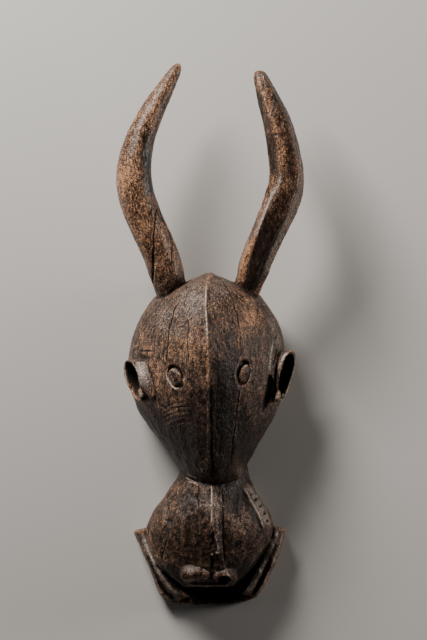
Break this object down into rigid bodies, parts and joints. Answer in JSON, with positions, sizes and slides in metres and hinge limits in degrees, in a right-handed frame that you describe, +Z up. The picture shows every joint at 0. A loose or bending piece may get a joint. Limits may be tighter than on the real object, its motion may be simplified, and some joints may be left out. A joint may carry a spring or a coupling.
{
  "type": "horned animal mask",
  "caption": "Horned animal mask carved from solid wood: hollow head with a ridged face, ring eyes, cupped ears, open muzzle and long curved horns.",
  "frame": {"origin": "centre of the mask's bounding box, on the plane that its open underside lies on", "axes": "+Y along its length from the muzzle to the tips of the horns, +Z up from the open underside to the ridge of the forehead, +X to the right of the face seen from above"},
  "size_m": [0.2588, 0.7498, 0.1723],
  "materials": {
    "dark_wood": "worn dark patina, satin, with brown wood showing on edges and on the horns"
  },
  "bodies": {
    "root": {"mask": "dark_wood"}
  },
  "joints": []
}
